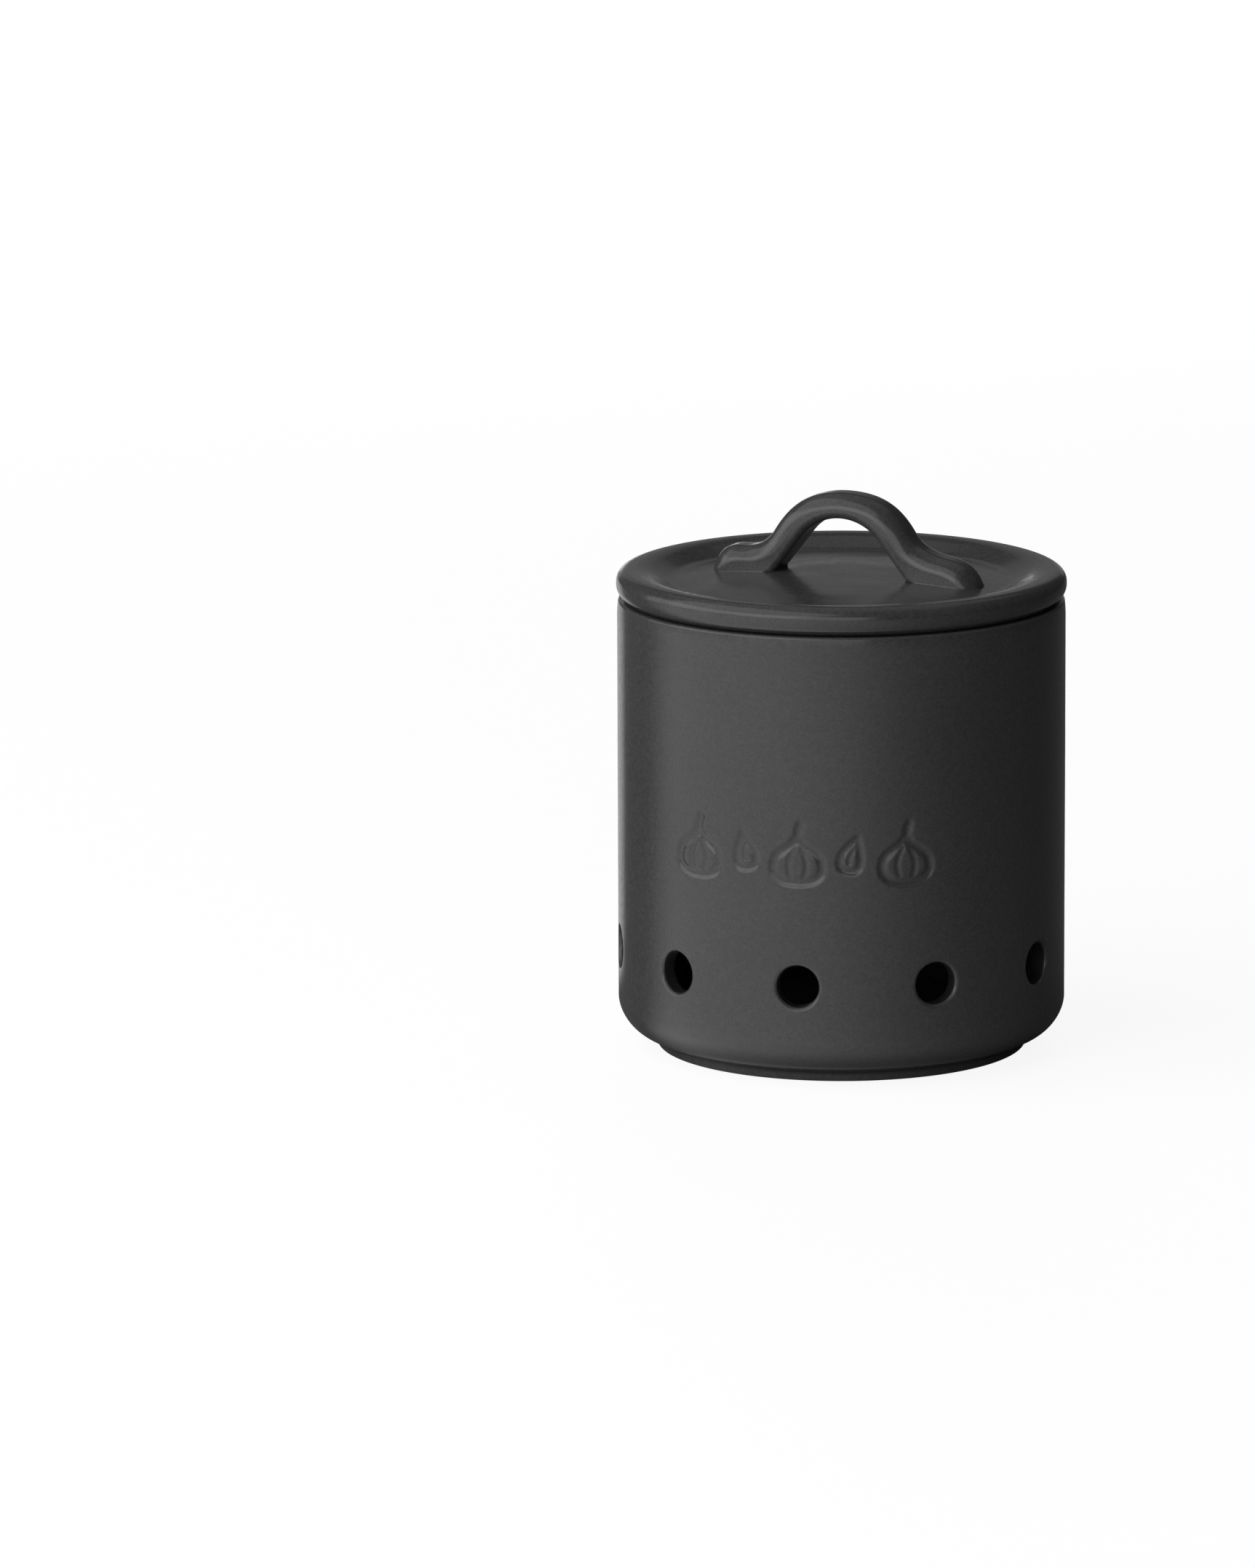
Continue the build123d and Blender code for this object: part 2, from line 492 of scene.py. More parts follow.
    def _cut_vent(self, clay: BMesh) -> None:
        """Opens the front vent: a softened mouth, a straight tunnel and an eased inner edge.

        Args:
            clay: the sector of the pot that holds the vent.
        """
        window = self._open_window(clay)
        for face, soft, steps in (
            (WallFace.OUTSIDE, self.vent_softening, 7),
            (WallFace.INSIDE, self.vent_inner_softening, 4),
        ):
            mouth = self._ring(clay, self.vent_radius + soft, face, 0.0)
            apron = bmesh.ops.bridge_loops(clay, edges=window[face] + mouth)["edges"]
            spread = bmesh.ops.subdivide_edgering(clay, edges=apron, interp_mode="LINEAR", cuts=4)["faces"]
            radius = self.body_radius if face is WallFace.OUTSIDE else self.inner_radius
            for vertex in {vertex for piece in spread for vertex in piece.verts}:
                vertex.co.xy = vertex.co.xy.normalized() * radius
            previous = mouth
            for step in range(1, steps + 1):
                bend = math.pi / 2 * step / steps
                ring = self._ring(
                    clay, self.vent_radius + soft * (1 - math.sin(bend)), face, soft * (1 - math.cos(bend))
                )
                bmesh.ops.bridge_loops(clay, edges=previous + ring)
                previous = ring
            window[face] = previous
        tunnel = bmesh.ops.bridge_loops(clay, edges=window[WallFace.OUTSIDE] + window[WallFace.INSIDE])
        bmesh.ops.subdivide_edgering(clay, edges=tunnel["edges"], interp_mode="LINEAR", cuts=2)

    def _close_round(self, clay: BMesh) -> None:
        """Repeats the sector round the pot and joins the copies."""
        step = 360 / self.vent_count
        bmesh.ops.spin(
            clay,
            geom=clay.verts[:] + clay.edges[:] + clay.faces[:],
            cent=AXIS_POINT,
            axis=UP,
            angle=math.radians(360 - step),
            steps=self.vent_count - 1,
            use_duplicate=True,
        )
        bmesh.ops.remove_doubles(clay, verts=clay.verts, dist=WELD)
        bmesh.ops.recalc_face_normals(clay, faces=clay.faces)

    def _press_ornament(self, clay: BMesh) -> None:
        """Divides the wall over the front vent finely, and presses the ornament into it."""
        block = (self.ornament_cells, self.ornament.middle_height, self.ornament_half_height)
        chosen = self._front_faces(clay, *block, self.body_radius - SKIN)
        edges = list({edge for piece in chosen for edge in piece.edges})
        bmesh.ops.subdivide_edges(clay, edges=edges, cuts=self.ornament_cuts, use_grid_fill=True)
        reach = self.ornament_half_height + WELD
        half_angle = self._half_angle(self.ornament_cells)
        spots = [
            vertex
            for vertex in clay.verts
            if vertex.co.xy.length > self.body_radius - 0.5
            and abs(vertex.co.z - self.ornament.middle_height) < reach
            and abs(math.atan2(vertex.co.x, -vertex.co.y)) < half_angle + 0.001
        ]
        flat = np.array([(self.body_radius * math.atan2(v.co.x, -v.co.y), v.co.z) for v in spots])
        for vertex, depth in zip(spots, self.ornament.depth_at(flat)):
            vertex.co.xy = vertex.co.xy.normalized() * (self.body_radius - depth)

    def _paint_vent_shade(self, clay: BMesh) -> None:
        """Paints shade inside the vents: marks their tunnels to be coloured near black."""
        glaze_and_light = clay.verts.layers.float[GLAZE_AND_LIGHT_LAYER]
        step = 2 * math.pi / self.vent_count
        least, reach = self.body_radius - self.vent_shade_inset, self.vent_radius + self.vent_shade_margin
        for vertex in clay.verts:
            out = vertex.co.xy.length
            turn = math.atan2(vertex.co.y, vertex.co.x) - math.radians(self.front)
            across = out * math.sin(turn - step * round(turn / step))
            if out < least and math.hypot(across, vertex.co.z - self.vent_height) < reach:
                vertex[glaze_and_light] = VENT_SHADE

    def _uneven(self, vertex: BMVert) -> float:
        """How far a vertex lies under the ideal wall, as on hand-finished clay."""
        low = noise.noise(Vector((vertex.co.x, vertex.co.y, vertex.co.z * 0.6)) * 0.03)
        rings = noise.noise(Vector((vertex.co.z * 0.16, vertex.co.xy.length * 0.1, 3.7)))
        if vertex.co.z <= self.even_below:
            return 0.0
        return -self.unevenness * (1.0 + 0.7 * low + 0.3 * rings)

    def build(self, finish: bpy.types.Material) -> bpy.types.Object:
        """Makes the jar.

        Args:
            finish: its material.

        Returns:
            The finished piece.
        """
        step = 360 / self.vent_count
        clay = turned(self._outline(), self.sector_columns, self.front - step / 2, step)
        self._cut_vent(clay)
        self._close_round(clay)
        self._press_ornament(clay)
        clay.normal_update()
        pushed(clay, self._uneven)
        mark_glaze(clay, lambda vertex: vertex.co.z < self.bare_below)
        self._paint_vent_shade(clay)
        return finished(clay, "jar_shell", finish, "jar", "jar_body")


# ------------------------------------------------------------------ lid
@dataclass
class LidDisc:
    """The lid's disc: rolled edge, broad rim, dished well with throwing rings, and the flange below."""

    lid_radius: float = 62.7
    seat_height: float = 126.6
    crest_height: float = 134.7
    top_round: float = 3.4
    under_round: float = 4.0
    land_radius: float = 55.5
    land_round: float = 12.0
    well_radius: float = 47.5
    well_edge_height: float = 131.5
    well_edge_round: float = 6.0
    well_middle: float = 133.7
    dome_reach: int = 40
    dome_step: int = 8
    flange_radius: float = 56.3
    flange_inner_radius: float = 52.1
    flange_bottom: float = 121.6
    flange_round: float = 1.2
    glaze_fillet: float = 0.5
    columns: int = 256
    ring_depth: float = 0.006
    ring_spacing: float = 3.4
    ring_wander: float = 5.0
    ring_fade: tuple[float, float] = (6.0, 9.0)
    wave_depth: float = 0.13
    wave_size: float = 10.0

    def well_height(self, radius: float) -> float:
        """Height of the plain dome of the well's floor at a radius."""
        rise = self.well_middle - self.well_edge_height
        dome = (self.well_radius**2 + rise**2) / (2 * rise)
        return self.well_middle - dome + math.sqrt(dome**2 - radius**2)

    def _outline(self) -> tuple[Corner, ...]:
        """The disc's outline, from the middle of the well to the middle of the underside."""
        places = range(0, self.dome_reach + 1, self.dome_step)
        floor = tuple(Corner(radius, self.well_height(radius), row=0.5) for radius in places)
        return floor + (
            Corner(self.well_radius, self.well_edge_height, self.well_edge_round, 8, 0.6),
            Corner(self.land_radius, self.crest_height, self.land_round, 10, 0.9),
            Corner(self.lid_radius, self.crest_height, self.top_round, 14, 0.5),
            Corner(self.lid_radius, self.seat_height, self.under_round, 14, 0.9),
            Corner(self.flange_radius, self.seat_height, self.glaze_fillet, 3, 1.0),
            Corner(self.flange_radius, self.flange_bottom, self.flange_round, 5, 1.0),
            Corner(self.flange_inner_radius, self.flange_bottom, self.flange_round, 5, 1.0),
            Corner(self.flange_inner_radius, self.seat_height, self.glaze_fillet, 3, 6.0),
            Corner(0.0, self.seat_height),
        )

    def _thrown(self, vertex: BMVert) -> float:
        """Height that the throwing rings add to the top of the disc at a vertex."""
        radius = vertex.co.xy.length
        if vertex.co.z < self.well_edge_height - 1 or radius > self.land_radius:
            return 0.0
        turn = math.atan2(vertex.co.y, vertex.co.x)
        wander = noise.noise(Vector((radius * 0.12, math.cos(turn) * 0.8, math.sin(turn) * 0.8)))
        rings = radius / self.ring_spacing + turn / (2 * math.pi)
        wave = math.sin(2 * math.pi * rings + self.ring_wander * wander)
        near, far = self.ring_fade
        fade = min(1.0, radius / near) * min(1.0, (self.land_radius - radius) / far)
        waves = noise.noise(Vector((vertex.co.x, vertex.co.y, 4.0)) / self.wave_size)
        return fade * (self.ring_depth * wave + self.wave_depth * waves)

    def build(self, finish: bpy.types.Material) -> bpy.types.Object:
        """Makes the disc.

        Args:
            finish: its material.

        Returns:
            The finished piece.
        """
        clay = turned(self._outline(), self.columns, 0.0, 360.0)
        for vertex in clay.verts:
            radius = vertex.co.xy.length
            if radius < self.dome_reach + 0.5 and vertex.co.z > self.seat_height + 1:
                vertex.co.z = self.well_height(radius)
        for vertex in clay.verts:
            vertex.co.z += self._thrown(vertex)
        bmesh.ops.recalc_face_normals(clay, faces=clay.faces)
        seat = self.seat_height + 0.05
        near, far = self.flange_radius + 0.6, self.lid_radius - self.under_round
        mark_glaze(clay, lambda vertex: vertex.co.z < seat and near < vertex.co.xy.length < far)
        return finished(clay, "lid_plate", finish, "lid", "lid_disc")


# ------------------------------------------------------------------ handle
@dataclass
class StrapHandle:
    """The strap over the lid: a loop that runs out into two rounded feet, luted to the well."""

    lid: LidDisc
    turn: float = -10.3
    shift: float = 1.4
    half_width: float = 6.5
    arch_radius: float = 23.7
    arch_centre: float = 132.8
    arch_bulge: float = 0.4
    arch_inner_radius: float = 14.4
    arch_inner_centre: float = 135.1
    arch_sweep: float = 52.0
    gap_half_width: float = 19.5
    knee_height: float = 133.943
    knee_round: float = 2.6
    shoulder_round: float = 10.5
    pad_top: float = 139.8
    pad_flat: float = 2.0
    left_end_round: float = 7.7
    right_end_round: float = 9.3
    right_slump: float = 0.7
    slump_middle: float = 30.8
    slump_reach: float = 11.0
    end_turn: float = 1.48
    corner_round: float = 6.0
    outer_round: float = 4.8
    inner_round: float = 2.0
    sink: float = 0.25
    glaze_flare: float = 0.08
    flare_facing: float = 0.55
    unevenness: float = 0.07

    # where the sections stand, as lengths along the strap from the top of the loop
    even_sweep: float = 50.0  # degrees in which they stand square to the loop
    inner_arch_length: float = 13.07
    inner_leg_length: float = 13.24
    knee_reach: float = 0.9
    heel_reach: float = 3.0
    contact: float = 30.4  # where the foot begins to stand on the well
    foot_blend: float = 6.0
    coarse_step: float = 0.55
    fine_step: float = 0.2
    fine_reach: float = 3.0

    # the most that the roundings of a section take of its height and of its half width
    foot_easing: float = 0.12
    low_share: float = 0.3
    high_share: float = 0.92
    low_wide_share: float = 0.45
    high_wide_share: float = 0.93

    @property
    def lean(self) -> float:
        """How far the outside of the loop turns before the shoulder turns it back, in radians."""
        rise = self.pad_top + self.shoulder_round - self.arch_centre
        return math.acos(rise / (self.arch_radius + self.shoulder_round))

    @property
    def shoulder_end(self) -> float:
        """Distance from the middle to where a foot's level top begins."""
        return (self.arch_radius + self.shoulder_round) * math.sin(self.lean)

    def _end_round(self, side: float) -> float:
        """Radius of the end of the foot on one side."""
        return self.left_end_round if side < 0 else self.right_end_round

    def _slump(self, local: float, side: int) -> float:
        """How much the right foot sinks towards its end, and swells where the loop runs into it."""
        past = (local - self.slump_middle) / self.slump_reach
        return -self.right_slump * math.sin(math.pi * past) if side > 0 and -1 < past < 1 else 0.0

    def _outer(self, along: float, side: int) -> tuple[float, float]:
        """The outside of the strap in side view.

        Args:
            along: distance along it from the top of the loop, in millimetres.
            side: -1 or 1, for the foot that it runs to.

        Returns:
            Distance from the middle, and height.
        """
        lean = self.lean
        arch, shoulder = self.arch_radius * lean, self.shoulder_round * lean
        if along < arch:
            angle = along / self.arch_radius
            radius = self.arch_radius + self.arch_bulge * math.sin(math.pi * angle / lean) ** 2
            return radius * math.sin(angle), self.arch_centre + radius * math.cos(angle)
        if along < arch + shoulder:
            angle = lean - (along - arch) / self.shoulder_round
            local = self.shoulder_end - self.shoulder_round * math.sin(angle)
            height = self.pad_top + self.shoulder_round * (1 - math.cos(angle))
        elif along < arch + shoulder + self.pad_flat:
            local, height = self.shoulder_end + along - arch - shoulder, self.pad_top
        else:
            turn = self._end_round(side)
            angle = (along - arch - shoulder - self.pad_flat) / turn
            local = self.shoulder_end + self.pad_flat + turn * math.sin(angle)
            height = self.pad_top - turn * (1 - math.cos(angle))
        return local, height + self._slump(local, side)

    def _outer_length(self, side: int) -> float:
        """Length of the outside of the strap, from the top of the loop to a foot's lowest part."""
        loop = self.lean * (self.arch_radius + self.shoulder_round)
        return loop + self.pad_flat + self.end_turn * self._end_round(side)

    def _bed(self, local: float, across: float = 0.0) -> float:
        """Height of the well's floor under a point of the handle."""
        return self.lid.well_height(math.hypot(local + self.shift, across))

    def _inner(self, along: float, side: int) -> tuple[float, float]:
        """The inside of the loop in side view, and then the underside of the foot.

        Args:
            along: distance along it from the top of the loop.
            side: -1 or 1, for the foot that it runs to.

        Returns:
            Distance from the middle, and height.
        """
        sweep = math.radians(self.arch_sweep)
        arch = self.arch_inner_radius * sweep
        if along < arch:
            angle = along / self.arch_inner_radius
            return (
                self.arch_inner_radius * math.sin(angle),
                self.arch_inner_centre + self.arch_inner_radius * math.cos(angle),
            )
        bend = (math.pi / 2 - sweep) / 2
        start = self.arch_inner_radius * math.sin(sweep)
        leg = (self.gap_half_width - start) / math.cos(sweep) - self.knee_round * math.tan(bend)
        high = self.arch_inner_centre + self.arch_inner_radius * math.cos(sweep)
        if along < arch + leg:
            run = along - arch
            return start + run * math.cos(sweep), high - run * math.sin(sweep)
        angle = min((along - arch - leg) / self.knee_round, 2 * bend)
        centre_x = self.gap_half_width - self.knee_round
        centre_z = self.knee_height - self.knee_round * math.tan(bend)
        spot = (
            centre_x + self.knee_round * math.cos(2 * bend - angle),
            centre_z + self.knee_round * math.sin(2 * bend - angle),
        )
        bed = self._bed(side * spot[0]) - self.sink
        if spot[1] > bed and angle < 2 * bend:
            return spot
        return spot[0], bed

    def _half_width_at(self, local: float) -> float:
        """Half the width of the strap, seen from above, at a distance from its middle."""
        reach = self.shoulder_end + self.pad_flat + self._end_round(local)
        past = abs(local) - (reach - self.corner_round)
        if past <= 0:
            return self.half_width
        return self.half_width - self.corner_round + math.sqrt(max(0.0, self.corner_round**2 - past**2))

    def _stations(self) -> list[tuple[Vector, Vector, float]]:
        """Where the sections of the strap stand, from the left foot's end to the right one's.

        Returns:
            For each, its outer point and inner point in side view, and how far it lies on the foot.
        """
        even = math.radians(self.even_sweep)
        inner_length = self.inner_arch_length + self.inner_leg_length
        square, begin = self.arch_radius * even, self.arch_inner_radius * even
        halves: dict[int, list[tuple[Vector, Vector, float]]] = {-1: [], 1: []}
        for side, stations in halves.items():
            heel = Vector(self._inner(inner_length + self.heel_reach, side))
            length = self._outer_length(side)
            along = 0.0
            while along < length:
                outer = Vector(self._outer(along, side))
                foot = 0.0
                if along <= square:
                    inner = Vector(self._inner(along * self.arch_inner_radius / self.arch_radius, side))
                elif along <= self.contact:
                    share = (along - square) / (self.contact - square)
                    below = begin + share * (inner_length + self.knee_reach - begin)
                    inner = Vector(self._inner(below, side))
                else:
                    share = (along - self.contact) / (length - self.contact)
                    end = self._outer(length, side)[0]
                    local = heel.x + share * (end - heel.x)
                    inner = Vector((local, self._bed(side * local) - self.sink))
                    foot = min(1.0, share * self.foot_blend)
                if outer.y - inner.y > 0.05 or foot < 0.5:
                    stations.append((Vector((side * outer.x, outer.y)), Vector((side * inner.x, inner.y)), foot))
                along += self.fine_step if along > length - self.fine_reach else self.coarse_step
        return halves[-1][::-1] + halves[1][1:]

    def _one_side(self, tall: float, low: float, high: float) -> list[tuple[float, float]]:
        """Points up one side of a section, from the middle of its underside to the middle of its top.

        Args:
            tall: height of the section.
            low: height of its lower rounding.
            high: height of its upper rounding.

        Returns:
            For each, its place (0 to 1 on the underside, to 2 on the lower rounding, to 3 on the upper
            one, to 4 on the top) and its height.
        """
        return (
            [(step / 6, 0.0) for step in range(6)]
            + [(1 + math.sin(turn), low * (1 - math.cos(turn))) for turn in quarter(6)]
            + [(2.0, low + (tall - low - high) * (step / 10) ** 1.7) for step in range(10)]
            + [(2 + (1 - math.cos(turn)), tall - high * (1 - math.sin(turn))) for turn in quarter(12)]
            + [(3 + step / 4, tall) for step in range(5)]
        )

    def _section(self, outer: Vector, inner: Vector, foot: float) -> list[tuple[float, float, float]]:
        """The closed section of the strap at one station.

        Args:
            outer: the section's point on the outside, in side view.
            inner: its point on the inside or under the foot.
            foot: 0 on the loop, up to 1 on a foot.

        Returns:
            Points round the section: distance along the handle, across it, and height.
        """
        tall = (outer - inner).length
        easing = self.inner_round * (1 - foot) + self.foot_easing * foot
        low = min(easing, self.low_share * tall)
        high = min(self.outer_round, self.high_share * (tall - low))
        right = self._one_side(tall, low, high)
        points: list[tuple[float, float, float]] = []
        for sign, side in ((1, right), (-1, right[-2:0:-1])):
            for place, rise in side:
                spot = inner.lerp(outer, rise / tall)
                wide = self._half_width_at(spot.x)
                low_turn = min(easing, wide * self.low_wide_share)
                high_turn = min(self.outer_round, wide * self.high_wide_share)
                if place < 1:
                    across = (wide - low_turn) * place
                elif place < 2:
                    across = wide - low_turn + low_turn * (place - 1)
                elif place < 3:
                    across = wide - high_turn * (place - 2)
                else:
                    across = (wide - high_turn) * (4 - place)
                points.append((spot.x, sign * across, spot.y))
        return points

    def _flared(self, clay: BMesh) -> None:
        """Draws the lowest edge of the feet out a little, where the glaze has run down onto the well."""
        clay.normal_update()
        moves = []
        for vertex in clay.verts:
            above = vertex.co.z - self._bed(vertex.co.x, vertex.co.y)
            level = Vector((vertex.normal.x, vertex.normal.y, 0.0))
            on_foot = above < self.glaze_flare and abs(vertex.co.x) > self.gap_half_width - 2
            if on_foot and level.length > self.flare_facing:
                near = self.glaze_flare - max(0.0, above)
                flare = self.glaze_flare - math.sqrt(self.glaze_flare**2 - near**2)
                moves.append((vertex, level.normalized() * flare))
        for vertex, move in moves:
            vertex.co += move

    def _uneven(self, vertex: BMVert) -> float:
        """How far the hand-shaped strap lies under its ideal shape at a vertex."""
        return -self.unevenness * (0.8 + 0.8 * noise.noise(Vector(vertex.co) * 0.11))

    def build(self, finish: bpy.types.Material) -> bpy.types.Object:
        """Makes the handle.

        Args:
            finish: its material.

        Returns:
            The finished piece.
        """
        clay = bmesh.new()
        sections = [self._section(*station) for station in self._stations()]
        ring: list[BMVert] = bmesh.ops.create_circle(clay, segments=len(sections[0]), radius=1.0)["verts"]
        edges = clay.edges[:]
        first = ring
        for vertex, spot in zip(ring, sections[0]):
            vertex.co = spot
        for section in sections[1:]:
            made = bmesh.ops.extrude_edge_only(clay, edges=edges)["geom"]
            fresh = {part for part in made if isinstance(part, BMVert)}
            edges = [part for part in made if isinstance(part, BMEdge) and set(part.verts) <= fresh]
            ring = [next(e.other_vert(v) for e in v.link_edges if e.other_vert(v) in fresh) for v in ring]
            for vertex, spot in zip(ring, section):
                vertex.co = spot
        bmesh.ops.contextual_create(clay, geom=first)
        bmesh.ops.contextual_create(clay, geom=ring)
        bmesh.ops.recalc_face_normals(clay, faces=clay.faces)
        self._flared(clay)
        clay.normal_update()
        pushed(clay, self._uneven)
        mark_glaze(clay, lambda vertex: False)
        turn = Matrix.Rotation(math.radians(self.turn), 4, "Z")
        clay.transform(turn @ Matrix.Translation((self.shift, 0.0, 0.0)))
        return finished(clay, "strap_handle", finish, "lid", "lid_handle")


# ------------------------------------------------------------------ finishes
class Graph:
    """A node tree that nodes are added to by a short call."""

    def __init__(self, tree: bpy.types.NodeTree) -> None:
        """Starts with an empty tree."""
        self.tree = tree
        tree.nodes.clear()

    def add(self, kind: str, inputs: dict[str | int, object] | None = None, **settings: object) -> bpy.types.Node:
        """Adds a node.

        Args:
            kind: the node's type, without its ShaderNode prefix.
            inputs: for each socket, a value or the output socket that feeds it.
            **settings: the node's own settings.

        Returns:
            The node.
        """
        node = self.tree.nodes.new("ShaderNode" + kind)
        for name, value in settings.items():
            setattr(node, name, value)
        for key, value in (inputs or {}).items():
            if isinstance(value, bpy.types.NodeSocket):
                self.tree.links.new(value, node.inputs[key])
            else:
                node.inputs[key].default_value = value
        return node

    def math(self, operation: str, one: object, other: object = 0.0, clamp: bool = False) -> bpy.types.NodeSocket:
        """Adds a calculation.

        Args:
            operation: the sum that is done.
            one: its first number or socket.
            other: its second number or socket.
            clamp: whether the result is kept from 0 to 1.

        Returns:
            The result's socket.
        """
        return self.add("Math", {0: one, 1: other}, operation=operation, use_clamp=clamp).outputs[0]

    def times(self, one: object, other: object) -> bpy.types.NodeSocket:
        """The product of two numbers or sockets."""
        return self.math("MULTIPLY", one, other)

    def plus(self, one: object, other: object) -> bpy.types.NodeSocket:
        """The sum of two numbers or sockets."""
        return self.math("ADD", one, other)

    def spread(
        self, value: object, low: float, high: float, to_low: float, to_high: float
    ) -> bpy.types.NodeSocket:
        """Maps a range smoothly onto another.

        Args:
            value: the socket that is mapped.
            low: start of its range.
            high: end of its range.
            to_low: what the start becomes.
            to_high: what the end becomes.

        Returns:
            The result's socket.
        """
        inputs = {"Value": value, 1: low, 2: high, 3: to_low, 4: to_high}
        return self.add("MapRange", inputs, interpolation_type="SMOOTHSTEP").outputs[0]


@dataclass(frozen=True)
class CharcoalGlaze:
    """Satin charcoal glaze with a fine grain and speckle, lighter on edges as thin glaze and as a painted highlight,
    painted near black as shade inside the vents, and bare where it was wiped.
    """

    colour: tuple[float, float, float] = (0.072, 0.072, 0.073)
    # lighter edges: thin glaze, and also a painted highlight
    thin_glaze_and_highlight_colour: tuple[float, float, float] = (0.125, 0.124, 0.122)
    pooled_colour: tuple[float, float, float] = (0.05, 0.05, 0.0515)
    # painted shade: near black inside the vents
    vent_shade_colour: tuple[float, float, float] = (0.012, 0.012, 0.0122)
    speck_colour: tuple[float, float, float] = (0.03, 0.03, 0.03)
    clay_colour: tuple[float, float, float] = (0.34, 0.31, 0.275)
    clay_shade: float = 0.8
    roughness: float = 0.19
    grain_size: float = 0.62
    mottle_size: float = 1.7
    cloud_size: float = 40.0
    cloud_squash: float = 0.7
    peel_size: float = 2.2
    speck_spacing: float = 3.2

    # how the patterns change the tone
    grain_tone: Span = (0.25, 0.75, 0.83, 1.17)
    mottle_tone: Span = (0.3, 0.7, 0.92, 1.08)
    cloud_tone: Span = (0.3, 0.7, 0.95, 1.05)

    # where each other colour covers the glaze
    edge_mottle: float = 0.5
    edge_cover: Span = (0.4, 1.1, 0.0, 0.6)
    pooled_cover: Span = (0.1, 0.9, 0.0, 0.8)
    vent_shade_cover: Span = (1.05, 1.9, 0.0, 1.0)
    speck_choice: float = 0.72
    speck_cover: Span = (0.07, 0.16, 1.0, 0.0)
    speck_strength: float = 0.35
    wiped_mottle: float = 0.6
    wiped_cover: Span = (0.4, 0.6, 0.0, 1.0)
    clay_grain: Span = (0.3, 0.7, 0.0, 1.0)

    # what is added to the roughness
    mottle_gloss: tuple[float, float] = (-0.03, 0.05)
    grain_gloss: Span = (0.3, 0.7, -0.02, 0.02)
    vent_shade_gloss: float = 0.4
    wiped_gloss: float = 0.5

    # the bump, with its distance in millimetres
    peel_height: float = 0.6
    grain_height: float = 0.25
    speck_pit: float = 0.04
    bump_strength: float = 0.15
    bump_distance: float = 0.02

    def _noise(self, graph: Graph, place: bpy.types.NodeSocket, size: float, detail: float) -> bpy.types.NodeSocket:
        """A noise whose patches are about as large as size, in millimetres."""
        inputs = {"Vector": place, "Scale": 1 / (size * MM), "Detail": detail, "Roughness": 0.55}
        return graph.add("TexNoise", inputs).outputs["Fac"]

    def _mixed(
        self, graph: Graph, share: object, one: object, other: object, blend: str = "MIX"
    ) -> bpy.types.NodeSocket:
        """One colour laid over another.

        Args:
            graph: where the node goes.
            share: how much of the second colour there is.
            one: the first colour.
            other: the second colour.
            blend: how they are laid.

        Returns:
            The colour's socket.
        """
        inputs = {0: share, 6: one, 7: other}
        return graph.add("Mix", inputs, data_type="RGBA", blend_type=blend).outputs[2]

    def material(self) -> bpy.types.Material:
        """Makes the material."""
        made = bpy.data.materials.new("charcoal_glaze_finish")
        made.use_nodes = True
        graph = Graph(made.node_tree)
        place = graph.add("TexCoord").outputs["Object"]
        squashed = {"Vector": place, "Scale": (1.0, 1.0, self.cloud_squash)}
        grain = self._noise(graph, place, self.grain_size, 3.0)
        mottle = self._noise(graph, place, self.mottle_size, 4.0)
        cloud = self._noise(graph, graph.add("Mapping", squashed).outputs[0], self.cloud_size, 2.0)
        spread_out = {"Vector": place, "Scale": 1 / (self.speck_spacing * MM), "Randomness": 1.0}
        speck = graph.add("TexVoronoi", spread_out).outputs
        glaze_and_light = graph.add("Attribute", attribute_name=GLAZE_AND_LIGHT_LAYER).outputs["Fac"]
        bare = graph.add("Attribute", attribute_name=BARE_LAYER).outputs["Fac"]
        spotted = graph.math("SUBTRACT", mottle, 0.5)

        tone = graph.times(graph.spread(grain, *self.grain_tone), graph.spread(mottle, *self.mottle_tone))
        tone = graph.times(tone, graph.spread(cloud, *self.cloud_tone))
        shade = graph.add("CombineColor", {0: tone, 1: tone, 2: tone}).outputs[0]
        colour = self._mixed(graph, 1.0, (*self.colour, 1.0), shade, "MULTIPLY")
        edge = graph.plus(glaze_and_light, graph.times(spotted, self.edge_mottle))
        on_edge = graph.spread(edge, *self.edge_cover)
        pooled = graph.spread(graph.times(edge, -1.0), *self.pooled_cover)
        # painted shade inside the vents
        deep = graph.spread(graph.times(glaze_and_light, -1.0), *self.vent_shade_cover)
        picked = graph.add("SeparateColor", {0: speck["Color"]}).outputs[0]
        picked = graph.math("GREATER_THAN", picked, self.speck_choice)
        dot = graph.times(graph.spread(speck["Distance"], *self.speck_cover), picked)
        # the edges' colour is partly a painted highlight, and the vents' colour is a painted shade
        for cover, laid in (
            (on_edge, self.thin_glaze_and_highlight_colour),
            (pooled, self.pooled_colour),
            (deep, self.vent_shade_colour),
            (graph.times(dot, self.speck_strength), self.speck_colour),
        ):
            colour = self._mixed(graph, cover, colour, (*laid, 1.0))
        wiped = graph.plus(bare, graph.times(spotted, self.wiped_mottle))
        wiped = graph.spread(wiped, *self.wiped_cover)
        dark_clay = [part * self.clay_shade for part in self.clay_colour]
        rough_clay = graph.spread(grain, *self.clay_grain)
        clay = self._mixed(graph, rough_clay, (*self.clay_colour, 1.0), (*dark_clay, 1.0))
        colour = self._mixed(graph, wiped, colour, clay)

